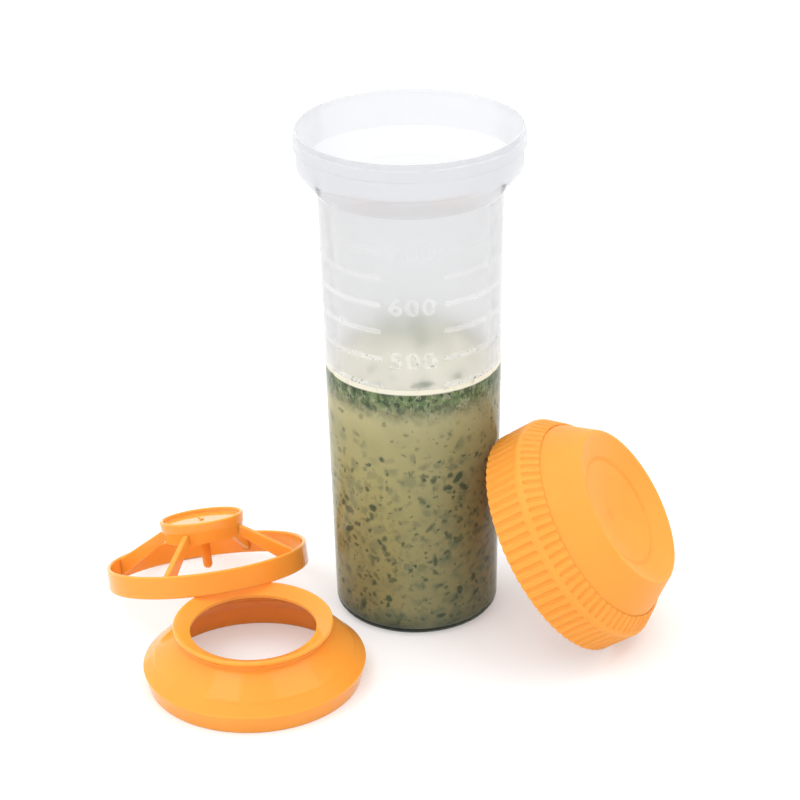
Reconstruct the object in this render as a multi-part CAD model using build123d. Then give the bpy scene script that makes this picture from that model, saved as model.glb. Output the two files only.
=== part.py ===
"""Salad dressing shaker bottle, taken apart: beaker with dressing, pour ring, mixer and lid.

Millimetres, +Z up. The beaker stands on its flat foot with its axis on Z. The pour ring stands
on the floor in front of it, the mixer leans on the pour ring's lip, and the lid stands on the
edge of its open side and leans on the beaker.
"""
import math
import os

from build123d import *

# Beaker body
foot_radius = 35.43
foot_round = 4.5
body_wall = 1.75
floor_thickness = 2.0
floor_round = 3.5
shoulder_radius = 38.9
shoulder_height = 194.9
shoulder_round = 2.0
shoulder_wall_rise = 1.1

# Beaker mouth, each part measured from the one below it
flare_reach = 8.05
flare_rise = 9.7
flare_length = 9.0
flare_round = 3.0
bead_depth = 1.15
bead_length = 5.2
bead_round = 0.6
rim_setback = 1.0
rim_length = 2.2
rim_round = 0.2
bore_wall = 2.15
bore_rise = 0.9
bore_round = 1.0
seat_reach = 1.6
seat_depth = 6.4

flare_radius = shoulder_radius + flare_reach
flare_low = shoulder_height + flare_rise
bead_low = flare_low + flare_length
bead_top = bead_low + bead_length
bead_radius = flare_radius + bead_depth
rim_radius = bead_radius - rim_setback
rim_height = bead_top + rim_length
bore_radius = flare_radius - bore_wall
bore_low = flare_low + bore_rise
seat_top_radius = bore_radius + seat_reach
seat_low = rim_height - seat_depth

# Scale on the beaker: marks at even steps of volume on both sides of the numbers
scale_margin = 14.27
mark_count = 14
mark_width = 2.4
mark_rise = 0.15
mark_bearing = -90.35
mark_gap_angle = 19.65
mark_end_angle = 104.0

scale_top = shoulder_height - scale_margin

# Dressing in the beaker
dressing_level = 117.5
dressing_gap = 0.05

# Pour ring, each part measured from the one below it
skirt_foot_radius = 44.84
skirt_wall = 2.44
skirt_round = 0.5
flange_reach = 2.09
flange_height = 8.19
flange_round = 0.5
flange_top_inset = 4.33
flange_top_rise = 4.01
flange_top_round = 1.0
cone_inset = 1.1
cone_rise = 1.4
neck_inset = 10.9
neck_rise = 8.25
neck_round = 1.0
lip_reach = 2.98
lip_rise = 3.05
lip_thickness = 1.3
lip_round = 0.55
funnel_inset = 1.48
throat_inset = 7.08
throat_drop = 2.6
throat_land = 1.4
throat_round = 0.4
hollow_top_inset = 1.2
hollow_top_drop = 1.55
hollow_inset = 1.2
hollow_drop = 1.4
hollow_round = 1.2
hollow_skirt_rise = 0.21
pour_ring_x = -69.25
pour_ring_y = -64.17

skirt_inner_radius = skirt_foot_radius - skirt_wall
flange_radius = skirt_foot_radius + flange_reach
flange_top_radius = flange_radius - flange_top_inset
flange_top_height = flange_height + flange_top_rise
cone_radius = flange_top_radius - cone_inset
cone_height = flange_top_height + cone_rise
neck_radius = cone_radius - neck_inset
neck_height = cone_height + neck_rise
lip_radius = neck_radius + lip_reach
lip_low = neck_height + lip_rise
lip_height = lip_low + lip_thickness
funnel_radius = lip_radius - funnel_inset
throat_radius = lip_radius - throat_inset
throat_height = lip_height - throat_drop
throat_low = throat_height - throat_land
hollow_top_radius = neck_radius - hollow_top_inset
hollow_top_height = neck_height - hollow_top_drop
hollow_radius = cone_radius - hollow_inset
hollow_height = cone_height - hollow_drop
hollow_skirt_height = flange_height + hollow_skirt_rise

# Mixer: rounded ring, four blades, a hub cup and its pin
mixer_radius = 44.35
mixer_wall = 1.8
mixer_height = 9.91
mixer_round = 0.85
cup_foot_radius = 17.09
cup_foot = 17.24
cup_flare = 0.81
cup_skirt = 4.86
cup_step_depth = 0.3
cup_top_flare = 0.77
cup_top_length = 4.76
cup_round = 0.7
cup_wall = 1.7
cup_recess = 1.86
pin_radius = 2.1
pin_foot = 3.13
nub_radius = 0.9
nub_height = 0.7
pip_radius = 0.5
pip_height = 0.35
pip_offset = 4.6
blade_count = 4
blade_bearing = 50.5
blade_thickness = 2.5
blade_ring_margin = 1.4
blade_ring_top_margin = 0.57
blade_cup_margin = 0.36
blade_bite = 0.9
mixer_reach = 21.62
mixer_bearing = 109.99
mixer_tilt_low = 1.0
mixer_tilt_high = 60.0
rest_gap = 0.3

cup_step_radius = cup_foot_radius + cup_flare
cup_step = cup_foot + cup_skirt
cup_radius = cup_step_radius + cup_top_flare
cup_height = cup_step + cup_top_length
cup_floor_top = cup_height - cup_recess
cup_floor_low = cup_floor_top - cup_wall
mixer_distance = mixer_radius + mixer_reach

# Lid, measured along its own axis from the open edge
lid_radius = 50.2
lid_edge_round = 0.35
lid_edge_wall = 1.65
snap_depth = 0.65
snap_low = 4.6
snap_rise = 1.2
crease_reach = 0.2
crease_low = 15.2
crease_length = 0.8
crease_round = 1.2
step_inset = 5.4
step_rise = 7.7
ledge = 0.9
dome_inset_share = 0.62
edge_round = 1.4
dish_radius = 68.0
dish_rise = 5.2
lid_wall = 1.7
inner_crease_wall = 2.4
inner_crease_rise = 0.5
inner_step_wall = 2.2
inner_step_drop = 1.3
dish_ring_radius = 24.1
dish_ring_size = 0.45
gate_radius = 1.3
gate_depth = 0.3
groove_count = 72
groove_radius = 1.14
groove_depth = 0.85
groove_stop = 0.8
groove_start = 1.45
groove_margin = 1.0
groove_runout = 0.45
groove_phase = 2.15
lid_tilt = 56.05
lid_bearing = -24.92
lid_lean = -16.37

lid_inner_radius = lid_radius - lid_edge_wall
crease_radius = lid_radius + crease_reach
crease_top = crease_low + crease_length
step_radius = crease_radius - step_inset
step_height = crease_top + step_rise
dome_radius = step_radius - ledge
dome_apex = step_height + dome_radius / dome_inset_share
dish_low = step_height + dish_rise
inner_crease_radius = crease_radius - inner_crease_wall
inner_crease_height = crease_low + inner_crease_rise
inner_step_radius = step_radius - inner_step_wall
inner_step_height = step_height - inner_step_drop
inner_apex = inner_step_height + inner_step_radius / dome_inset_share

# Steps of the searches for the leaning positions
search_points = 1440
search_steps = 40


def turned(corners, rounds):
    """Solid turned about Z from corners (radius, height), each with its rounding."""
    outline = FilletPolyline(*corners, radius=rounds, close=True)
    return revolve(Plane.XZ * make_face(outline), axis=Axis.Z)


def body_radius(height):
    """Outer radius of the beaker's tapered body at a height."""
    return foot_radius + (shoulder_radius - foot_radius) * height / shoulder_height


def inner_radius(height):
    """Inner radius of the beaker's tapered body at a height."""
    return body_radius(height) - body_wall


def held_volume(height):
    """Volume that the beaker holds up to a height."""
    foot, top = inner_radius(floor_thickness), inner_radius(height)
    return math.pi / 3 * (height - floor_thickness) * (foot * foot + foot * top + top * top)


def fill_height(volume):
    """Height to which a volume fills the beaker."""
    low, high = floor_thickness, shoulder_height
    for _ in range(search_steps):
        middle = (low + high) / 2
        if held_volume(middle) < volume:
            low = middle
        else:
            high = middle
    return low


def mark_corners():
    """Corners (radius, height) of the raised marks, one for every step of the scale."""
    corners = []
    for index in range(1, mark_count + 1):
        height = fill_height(held_volume(scale_top) * index / mark_count)
        low, high = height - mark_width / 2, height + mark_width / 2
        corners += [
            (body_radius(low), low),
            (body_radius(low) + mark_rise, low),
            (body_radius(high) + mark_rise, high),
            (body_radius(high), high),
        ]
    return corners


def beaker_sector(start, span, marks):
    """Sector of the beaker that starts at a bearing, with the given marks in its outline."""
    corners = [(0, 0), (foot_radius, 0)] + marks + [
        (shoulder_radius, shoulder_height),
        (flare_radius, flare_low),
        (flare_radius, bead_low),
        (bead_radius, bead_low),
        (bead_radius, bead_top),
        (rim_radius, bead_top),
        (rim_radius, rim_height),
        (seat_top_radius, rim_height),
        (bore_radius, seat_low),
        (bore_radius, bore_low),
        (inner_radius(shoulder_height), shoulder_height + shoulder_wall_rise),
        (inner_radius(floor_thickness), floor_thickness),
        (0, floor_thickness),
    ]
    rounds = [0, foot_round] + [0] * len(marks) + [
        shoulder_round, flare_round, rim_round, bead_round, bead_round, rim_round,
        rim_round, rim_round, 0, bore_round, shoulder_round, floor_round, 0,
    ]
    outline = FilletPolyline(*corners, radius=rounds, close=True)
    face = Rot(0, 0, start) * (Plane.XZ * make_face(outline))
    return revolve(face, axis=Axis.Z, revolution_arc=span)


def beaker():
    """Tapered beaker with a flared mouth, a bead under its rim and the raised scale."""
    marks = mark_corners()
    side = mark_end_angle - mark_gap_angle
    right = mark_bearing + mark_gap_angle
    back = mark_bearing + mark_end_angle
    left = mark_bearing - mark_end_angle
    front_sector = beaker_sector(left + side, mark_gap_angle + mark_gap_angle, [])
    return front_sector.fuse(
        beaker_sector(right, side, marks),
        beaker_sector(back, 360 - mark_end_angle - mark_end_angle, []),
        beaker_sector(left, side, marks),
    )


def dressing():
    """Dressing that stands in the beaker up to its level."""
    return turned(
        [
            (0, floor_thickness),
            (inner_radius(floor_thickness) - dressing_gap, floor_thickness),
            (inner_radius(dressing_level) - dressing_gap, dressing_level),
            (0, dressing_level),
        ],
        [0, floor_round, 0, 0],
    )


def pour_ring():
    """Funnel ring with a tapered plug skirt, a flange, a cone and a pouring lip."""
    ring = turned(
        [
            (skirt_inner_radius, 0),
            (skirt_foot_radius, 0),
            (flange_radius, flange_height),
            (flange_top_radius, flange_top_height),
            (cone_radius, cone_height),
            (neck_radius, neck_height),
            (lip_radius, lip_low),
            (lip_radius, lip_height),
            (funnel_radius, lip_height),
            (throat_radius, throat_height),
            (throat_radius, throat_low),
            (hollow_top_radius, hollow_top_height),
            (hollow_radius, hollow_height),
            (skirt_inner_radius, hollow_skirt_height),
        ],
        [
            skirt_round, skirt_round, flange_round, flange_top_round, 0, neck_round, lip_round,
            lip_round, 0, throat_round, throat_round, neck_round, neck_round, hollow_round,
        ],
    )
    return Pos(pour_ring_x, pour_ring_y, 0) * ring


def hub():
    """Hub cup with a recessed top and a hollow underside, and the pin that hangs from it."""
    cup = turned(
        [
            (cup_foot_radius - cup_wall, cup_foot),
            (cup_foot_radius, cup_foot),
            (cup_step_radius, cup_step),
            (cup_step_radius + cup_step_depth, cup_step + cup_step_depth),
            (cup_radius, cup_height),
            (cup_radius - cup_wall, cup_height),
            (cup_radius - cup_wall - cup_step_depth, cup_floor_top),
            (0, cup_floor_top),
            (0, cup_floor_low),
            (cup_step_radius - cup_wall, cup_floor_low),
        ],
        [0, 0, 0, 0, cup_round, cup_round, 0, 0, 0, 0],
    )
    shaft = Pos(0, 0, pin_foot + pin_radius) * Cylinder(
        pin_radius, cup_floor_low + cup_step_depth - pin_foot - pin_radius,
        align=(Align.CENTER, Align.CENTER, Align.MIN))
    tip = Pos(0, 0, pin_foot + pin_radius) * Sphere(pin_radius)
    nub = Pos(0, 0, cup_floor_low) * Cylinder(
        nub_radius, cup_floor_top + nub_height - cup_floor_low,
        align=(Align.CENTER, Align.CENTER, Align.MIN))
    pip = Pos(pip_offset, 0, cup_floor_low) * Cylinder(
        pip_radius, cup_floor_top + pip_height - cup_floor_low,
        align=(Align.CENTER, Align.CENTER, Align.MIN))
    return cup + [shaft, tip, nub, pip]


def blade():
    """One sloping blade from the hub cup down to the ring."""
    ring_end = mixer_radius - blade_bite
    cup_end = cup_foot_radius - blade_bite
    side = make_face(Polyline(
        (cup_end, cup_foot + blade_cup_margin),
        (ring_end, blade_ring_margin),
        (ring_end, mixer_height - blade_ring_top_margin),
        (cup_end, cup_step),
        close=True,
    ))
    return extrude(Plane.XZ * side, amount=blade_thickness / 2, both=True)


def mixer():
    """Mixer moulded in one: rounded ring, four blades, hub cup and pin."""
    ring = turned(
        [
            (mixer_radius - mixer_wall, 0),
            (mixer_radius, 0),
            (mixer_radius, mixer_height),
            (mixer_radius - mixer_wall, mixer_height),
        ],
        [mixer_round, mixer_round, mixer_round, mixer_round],
    )
    blades = []
    for index in range(blade_count):
        bearing = blade_bearing + index * 360 / blade_count
        blades.append(Rot(0, 0, bearing) * blade())
    return ring + [hub()] + blades


def resting_height(radius, rounding, tilt):
    """Height of a tilted ring's centre when the rounded edge at its low side meets the floor."""
    return (radius - rounding) * math.sin(tilt) + rounding * (1 - math.cos(tilt))


def leaning(x, y, height, bearing, tilt):
    """Placement of a piece whose axis leans by a tilt towards a bearing."""
    return Pos(x, y, height) * Rot(0, 0, bearing) * Rot(0, tilt, 0)


def edge_points(placement, radius, rounding):
    """Points on the centre line of a placed ring's rounded lower edge."""
    points = []
    for index in range(search_points):
        angle = 360 * index / search_points
        local = Rot(0, 0, angle) * Pos(radius - rounding, 0, rounding)
        points.append((placement * local).position)
    return points


def mixer_placement(tilt):
    """Placement of the mixer that stands on the floor with a tilt, in degrees."""
    bearing = math.radians(mixer_bearing)
    x = pour_ring_x + mixer_distance * math.cos(bearing)
    y = pour_ring_y + mixer_distance * math.sin(bearing)
    height = resting_height(mixer_radius, mixer_round, math.radians(tilt))
    return leaning(x, y, height, mixer_bearing, tilt)


def mixer_gap(tilt):
    """Gap over the resting gap between the tilted mixer's ring and the pour ring's lip."""
    reach = mixer_round + lip_round + rest_gap
    gaps = []
    for point in edge_points(mixer_placement(tilt), mixer_radius, mixer_round):
        across = math.hypot(point.X - pour_ring_x, point.Y - pour_ring_y)
        sideways = across - (lip_radius - lip_round)
        if abs(sideways) < reach:
            upwards = point.Z - (lip_height - lip_round)
            gaps.append(upwards - math.sqrt(reach * reach - sideways * sideways))
    return min(gaps, default=reach)


def lid_placement(distance):
    """Placement of the lid that stands on its open edge at a distance from the beaker's axis."""
    bearing = math.radians(lid_bearing)
    height = resting_height(lid_radius, lid_edge_round, math.radians(lid_tilt))
    return leaning(distance * math.cos(bearing), distance * math.sin(bearing), height, lid_lean, lid_tilt)


def lid_gap(distance):
    """Gap over the resting gap between the leaning lid's edge and the beaker's marks."""
    taper = math.atan2(shoulder_radius - foot_radius, shoulder_height)
    gaps = []
    for point in edge_points(lid_placement(distance), lid_radius, lid_edge_round):
        gaps.append(math.hypot(point.X, point.Y) - body_radius(point.Z) - mark_rise)
    return min(gaps) * math.cos(taper) - lid_edge_round - rest_gap


def solved(gap, low, high):
    """Value between two limits at which a growing gap opens."""
    for _ in range(search_steps):
        middle = (low + high) / 2
        if gap(middle) < 0:
            low = middle
        else:
            high = middle
    return low


def lid_shell():
    """Lid with two sloping bands, a domed top that is dished, and a thin wall throughout."""
    dish_centre = dish_low + dish_radius
    shell = turned(
        [
            (0, 0),
            (lid_radius, 0),
            (crease_radius, crease_low),
            (crease_radius, crease_top),
            (step_radius, step_height),
            (dome_radius, step_height),
            (0, dome_apex),
        ],
        [0, lid_edge_round, crease_round, crease_round, 0, 0, 0],
    )
    shell -= Pos(0, 0, dish_centre) * Sphere(dish_radius)
    rim = shell.edges().filter_by(GeomType.CIRCLE).sort_by(Axis.Z)[-1]
    shell = fillet(rim, edge_round)
    hollow = turned(
        [
            (0, 0),
            (lid_inner_radius, 0),
            (lid_inner_radius, snap_low),
            (lid_inner_radius - snap_depth, snap_low + snap_rise),
            (lid_inner_radius, snap_low + snap_rise + snap_rise),
            (inner_crease_radius, inner_crease_height),
            (inner_step_radius, inner_step_height),
            (0, inner_apex),
        ],
        [0, 0, 0, 0, 0, 0, 0, 0],
    )
    hollow -= Pos(0, 0, dish_centre) * Sphere(dish_radius + lid_wall)
    return shell - hollow


def flute(start, end):
    """Round cutter along a line between two points (radius, length), with a ball at its start."""
    across, along = end[0] - start[0], end[1] - start[1]
    length = math.hypot(across, along)
    line = Pos(start[0], 0, start[1]) * Rot(0, math.degrees(math.atan2(across, along)), 0)
    rod = Cylinder(groove_radius, length, align=(Align.CENTER, Align.CENTER, Align.MIN))
    return line * (rod + Sphere(groove_radius))


def grooves():
    """Cutters for the grip grooves, one on each of the two bands at every pitch."""
    lift = groove_radius - groove_depth
    slope = math.atan2(crease_radius - lid_radius, crease_low)
    low_side = (lid_radius + lift * math.cos(slope), -lift * math.sin(slope))
    reach = crease_low - groove_stop - groove_radius
    start = (low_side[0] + reach * math.sin(slope), low_side[1] + reach * math.cos(slope))
    end = (low_side[0] - groove_margin * math.sin(slope), low_side[1] - groove_margin * math.cos(slope))
    lower = flute(start, end)
    pitch = math.atan2(step_height - crease_top, step_radius - crease_radius)
    length = math.hypot(step_height - crease_top, step_radius - crease_radius)
    base = (crease_radius + lift * math.sin(pitch), crease_top - lift * math.cos(pitch))
    near = groove_start + groove_radius
    far = length + groove_runout
    upper = flute(
        (base[0] + near * math.cos(pitch), base[1] + near * math.sin(pitch)),
        (base[0] + far * math.cos(pitch), base[1] + far * math.sin(pitch)),
    )
    cutters = []
    for index in range(groove_count):
        turn = Rot(0, 0, groove_phase + 360 * index / groove_count)
        cutters += [turn * lower, turn * upper]
    return cutters


def lid():
    """Lid with its grip grooves, a fine ring and a gate mark in the dish."""
    dish_centre = dish_low + dish_radius
    ring_height = dish_centre - math.sqrt(dish_radius * dish_radius - dish_ring_radius * dish_ring_radius)
    ring = Pos(0, 0, ring_height) * Torus(dish_ring_radius, dish_ring_size)
    gate = Pos(0, 0, dish_low) * Cylinder(gate_radius, gate_depth + gate_depth)
    return lid_shell() - ([ring, gate] + grooves())


def main():
    """Build every piece in the place it has in the set and export it."""
    mixer_tilt = solved(mixer_gap, mixer_tilt_low, mixer_tilt_high)
    lid_distance = solved(lid_gap, 0, foot_radius + lid_radius + lid_radius)
    pieces = {
        "beaker": beaker(),
        "dressing": dressing(),
        "pour_ring": pour_ring(),
        "mixer": mixer_placement(mixer_tilt) * mixer(),
        "lid": lid_placement(lid_distance) * lid(),
    }
    os.makedirs("parts", exist_ok=True)
    for name, piece in pieces.items():
        export_step(piece, f"parts/{name}.step")


main()
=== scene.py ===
"""Salad dressing shaker bottle, taken apart: beaker, dressing, pour ring, mixer and lid.

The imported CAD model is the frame. Each piece here stands where its CAD node stands, and gives it the
shapes and the finish that the photograph shows. Lengths are in millimetres, but those in textures,
bumps and glows, and those of the floor, the lamps and the camera's place are in metres.
"""

import logging
import math
from dataclasses import dataclass
from enum import Enum
from functools import cache, cached_property

import bmesh
import bpy
from mathutils import Matrix, Vector


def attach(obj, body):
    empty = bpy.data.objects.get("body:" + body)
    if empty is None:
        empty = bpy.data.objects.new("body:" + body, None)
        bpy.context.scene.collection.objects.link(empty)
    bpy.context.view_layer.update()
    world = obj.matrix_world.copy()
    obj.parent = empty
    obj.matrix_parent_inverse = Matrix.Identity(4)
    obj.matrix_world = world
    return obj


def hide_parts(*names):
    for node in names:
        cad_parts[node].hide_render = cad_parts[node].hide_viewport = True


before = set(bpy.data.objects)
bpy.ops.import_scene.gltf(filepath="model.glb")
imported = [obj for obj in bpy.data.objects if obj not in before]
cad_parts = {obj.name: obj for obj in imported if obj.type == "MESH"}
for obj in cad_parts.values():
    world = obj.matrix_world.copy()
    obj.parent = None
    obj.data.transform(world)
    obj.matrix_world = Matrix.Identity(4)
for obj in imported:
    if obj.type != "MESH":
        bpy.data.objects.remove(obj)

log = logging.getLogger("shaker")

frozen = dataclass(frozen=True)

Colour = tuple[float, float, float]
Place = tuple[float, float, float]
Row = tuple[float, ...]
Mesh = bmesh.types.BMesh
Material = bpy.types.Material
Node = bpy.types.Node
Object = bpy.types.Object
Outputs = bpy.types.NodeOutputs
Socket = bpy.types.NodeSocket
Tree = bpy.types.NodeTree

MM = 0.001
WHITE = (1.0, 1.0, 1.0, 1.0)
HERB_INPUTS = ("Scale", "Width", "Slender", "Soft", "Faintest")

# The height of the dressing's top, in millimetres
LEVEL = 117.5


def linear(red: int, green: int, blue: int) -> Colour:
    """Turn a colour as a screen shows it, 0 to 255, into linear light."""
    return tuple(((v / 255 + 0.055) / 1.055) ** 2.4 for v in (red, green, blue))


def turned(degrees: float, axis: str) -> Matrix:
    """Give a turn about an axis."""
    return Matrix.Rotation(math.radians(degrees), 4, axis)


class Body(Enum):
    """The CAD bodies that pieces ride on."""

    BEAKER = "beaker"
    POUR_RING = "pour_ring"
    MIXER = "mixer"
    LID = "lid"


class Slot(Enum):
    """The record's material slots."""

    FROSTED = "frosted_clear"
    DRESSING = "dressing"
    GLOSS = "orange_gloss"
    SATIN = "orange_satin"


# Node trees


class Graph:
    """A node tree with short ways to add and join its nodes."""

    def __init__(self, tree: Tree) -> None:
        """Keep the tree that is being filled."""
        self.tree = tree

    def feed(self, socket: Socket, value: object) -> None:
        """Join a socket to another one, or set its value.

        Args:
            socket: the input.
            value: an output socket, a number or a tuple.
        """
        if isinstance(value, Socket):
            self.tree.links.new(value, socket)
        else:
            socket.default_value = value

    def add(self, kind: str, settings: dict | None = None, inputs: dict | None = None) -> Node:
        """Add a node.

        Args:
            kind: its Blender type, without the leading ShaderNode.
            settings: its properties.
            inputs: what its named or numbered inputs get.

        Returns:
            The node.
        """
        node = self.tree.nodes.new("ShaderNode" + kind)
        for name, value in (settings or {}).items():
            setattr(node, name, value)
        for name, value in (inputs or {}).items():
            self.feed(node.inputs[name], value)
        return node

    def math(self, operation: str, *values: object) -> Socket:
        """Work a number out from one to three others."""
        return self.add("Math", {"operation": operation}, dict(enumerate(values))).outputs[0]

    def vector_math(self, operation: str, *values: object) -> Socket:
        """Work a vector out from one or two others."""
        return self.add("VectorMath", {"operation": operation}, dict(enumerate(values))).outputs[0]

    def stretch(self, vector: Socket, x: float, y: float, z: float) -> Socket:
        """Multiply a vector along each axis."""
        return self.vector_math("MULTIPLY", vector, (x, y, z))

    def dot(self, first: Socket, second: Socket) -> Socket:
        """Multiply two vectors into a number."""
        return self.add("VectorMath", {"operation": "DOT_PRODUCT"}, {0: first, 1: second}).outputs["Value"]

    def step(self, value: object, low: object, high: object, start: float = 0.0, end: float = 1.0) -> Socket:
        """Blend smoothly from start to end while a value goes from low to high."""
        inputs = {"Value": value, "From Min": low, "From Max": high, "To Min": start, "To Max": end}
        return self.add("MapRange", {"interpolation_type": "SMOOTHSTEP"}, inputs).outputs[0]

    def blend(self, share: object, first: object, second: object) -> Socket:
        """Mix two numbers, with the share of the second one."""
        return self.add("Mix", {"data_type": "FLOAT"}, {0: share, 2: first, 3: second}).outputs[0]

    def mix(self, share: object, first: object, second: object) -> Socket:
        """Mix two colours, with the share of the second one."""
        first, second = (v if isinstance(v, Socket) else (*v, 1.0) for v in (first, second))
        return self.add("Mix", {"data_type": "RGBA"}, {0: share, 6: first, 7: second}).outputs[2]

    def lay(self, under: object, over: object, mask: Socket, share: object) -> Socket:
        """Lay a colour over another one, as far as a mask and a share let it."""
        return self.mix(self.math("MULTIPLY", mask, share), under, over)

    def ramp(self, value: object, stops: tuple[tuple[float, Colour], ...]) -> Socket:
        """Read a colour off a row of stops.

        Args:
            value: the place on the row, 0 to 1.
            stops: the places and their colours, in order.

        Returns:
            The colour's socket.
        """
        node = self.add("ValToRGB", inputs={0: value})
        elements = node.color_ramp.elements
        while len(elements) < len(stops):
            elements.new(1.0)
        for element, (place, colour) in zip(elements, stops):
            element.position = place
            element.color = (*colour, 1.0)
        return node.outputs[0]

    def noise(
        self, vector: Socket, scale: object, detail: float = 2.0, rough: float = 0.5, output: object = 0
    ) -> Socket:
        """Add a noise texture on a vector and give its number, or another output of it."""
        inputs = {"Vector": vector, "Scale": scale, "Detail": detail, "Roughness": rough}
        return self.add("TexNoise", inputs=inputs).outputs[output]

    def group(self, tree: Tree, inputs: dict) -> Outputs:
        """Add a node group with what its inputs get, and give its outputs."""
        return self.add("Group", {"node_tree": tree}, inputs).outputs


def new_group(name: str, inputs: tuple[str, ...], outputs: tuple[str, ...]) -> tuple:
    """Start a node group that reads a vector and numbers and gives numbers.

    Args:
        name: the group's name.
        inputs: the names of the numbers that it reads.
        outputs: the names of what it gives.

    Returns:
        The group's graph, what it is given, and the sockets for its results, both by name.
    """
    graph = Graph(bpy.data.node_groups.new(name, "ShaderNodeTree"))
    add_socket = graph.tree.interface.new_socket
    add_socket("Vector", in_out="INPUT", socket_type="NodeSocketVector")
    for way, titles in (("INPUT", inputs), ("OUTPUT", outputs)):
        for title in titles:
            add_socket(title, in_out=way, socket_type="NodeSocketFloat")
    given = graph.tree.nodes.new("NodeGroupInput").outputs
    return graph, given, graph.tree.nodes.new("NodeGroupOutput").inputs


@cache
def mould_grain() -> Tree:
    """Build the group for a moulded skin: the tool's grain and a slow unevenness under it.

    Returns:
        The group, with a height for Bump and a tone from 0 to 1.
    """
    graph, given, result = new_group("mould_grain", ("Grain", "Wave", "Share"), ("Height", "Tone"))
    grain = graph.noise(given["Vector"], given["Grain"], 3.0, 0.6)
    wave = graph.noise(given["Vector"], given["Wave"], 2.0, 0.4)
    graph.feed(result["Height"], graph.blend(given["Share"], wave, grain))
    graph.feed(result["Tone"], wave)
    return graph.tree


@cache
def handling() -> Tree:
    """Build the group for faint wipe marks and prints, which change how a skin shines.

    Returns:
        The group, with a mask from 0 to 1.
    """
    graph, given, result = new_group("handling", ("Scale",), ("Mask",))
    broad = graph.noise(graph.stretch(given["Vector"], 1.0, 1.0, 0.35), given["Scale"], 4.0, 0.6)
    graph.feed(result["Mask"], graph.step(broad, 0.48, 0.72))
    return graph.tree


@cache
def herb_flecks() -> Tree:
    """Build the group for chopped herbs: slender bits that lie every way.

    Returns:
        The group, with a mask from 0 to 1.
    """
    graph, given, result = new_group("herb_flecks", ("Share", *HERB_INPUTS), ("Mask",))
    middle = (0.5, 0.5, 0.5)

    # The space is stirred a little, so that the outlines waver
    stir = graph.vector_math("SUBTRACT", graph.noise(given["Vector"], 700.0, 3.0, 0.6, "Color"), middle)
    point = graph.vector_math("ADD", given["Vector"], graph.stretch(stir, 0.0022, 0.0022, 0.0022))

    # Each cell holds one long ellipsoid, and its colour says which way that lies
    cells = graph.add("TexVoronoi", inputs={"Vector": point, "Scale": given["Scale"]}).outputs
    offset = graph.vector_math("SUBTRACT", point, cells["Position"])
    axis = graph.vector_math("NORMALIZE", graph.vector_math("SUBTRACT", cells["Color"], middle))
    along = graph.math("POWER", graph.dot(offset, axis), 2.0)
    narrow = graph.math("SUBTRACT", 1.0, graph.math("POWER", given["Slender"], 2.0))
    across = graph.math("SUBTRACT", graph.dot(offset, offset), graph.math("MULTIPLY", along, narrow))
    away = graph.math("SQRT", graph.math("MAXIMUM", across, 0.0))

    # Three chances for each cell: its bit's size, whether it is there, and how strong it is
    spread = graph.stretch(cells["Position"], 997.0, 991.0, 983.0)
    chance = graph.add("TexWhiteNoise", inputs={"Vector": spread}).outputs["Color"]
    chances = graph.add("SeparateColor", inputs={0: chance}).outputs
    size = graph.math("MULTIPLY", given["Width"], graph.math("MULTIPLY_ADD", chances[0], 0.9, 0.5))
    shape = graph.step(away, graph.math("SUBTRACT", size, given["Soft"]), size, 1.0, 0.0)
    here = graph.math("LESS_THAN", chances[1], given["Share"])
    strength = graph.blend(chances[2], given["Faintest"], 1.0)
    graph.feed(result["Mask"], graph.math("MULTIPLY", graph.math("MULTIPLY", shape, here), strength))
    return graph.tree


class Canvas(Graph):
    """A new material's node tree, with its shader and the point's place."""

    def __init__(self, name: str) -> None:
        """Start the material.

        Args:
            name: the material's name.
        """
        self.material = bpy.data.materials.new(name)
        self.material.use_nodes = True
        super().__init__(self.material.node_tree)
        self.shader = next(n for n in self.tree.nodes if n.type == "BSDF_PRINCIPLED")
        self.place = self.add("TexCoord").outputs["Object"]

    @cached_property
    def axes(self) -> Outputs:
        """Give the three numbers of the point's place."""
        return self.add("SeparateXYZ", inputs={0: self.place}).outputs

    def set(self, **inputs: object) -> None:
        """Give the shader's inputs what they get, with an underscore for each space in a name."""
        for name, value in inputs.items():
            self.feed(self.shader.inputs[name.replace("_", " ")], value)

    def bump(self, strength: float, distance: float, height: Socket) -> None:
        """Raise the surface by a height."""
        node = self.add("Bump", inputs={"Strength": strength, "Distance": distance, "Height": height})
        self.set(Normal=node.outputs[0])

    def skin(self, grain: float, wave: float, share: float) -> Outputs:
        """Give the height and the tone of a moulded skin."""
        given = {"Vector": self.place, "Grain": grain, "Wave": wave, "Share": share}
        return self.group(mould_grain(), given)

    def worn(self, scale: float, clean: float, worn: float) -> Socket:
        """Give the roughness of a skin that has been handled."""
        prints = self.group(handling(), {"Vector": self.place, "Scale": scale})[0]
        return self.step(prints, 0.0, 1.0, clean, worn)

    def above(self, low: float, high: float, start: float = 0.0, end: float = 1.0) -> Socket:
        """Blend from start to end between two heights over the dressing's level, in millimetres."""
        return self.step(self.axes[2], (LEVEL + low) * MM, (LEVEL + high) * MM, start, end)

    def herbs(self, share: object, *layers: Row) -> Socket:
        """Scatter layers of herbs.

        Args:
            share: how many places hold a bit.
            layers: each layer's scale, width, slenderness, softness and faintest strength.

        Returns:
            The mask's socket.
        """
        mask = None
        for layer in layers:
            given = dict(zip(HERB_INPUTS, layer))
            found = self.group(herb_flecks(), {"Vector": self.place, "Share": share, **given})[0]
            mask = found if mask is None else self.math("MAXIMUM", mask, found)
        return mask


# Finishes


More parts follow.
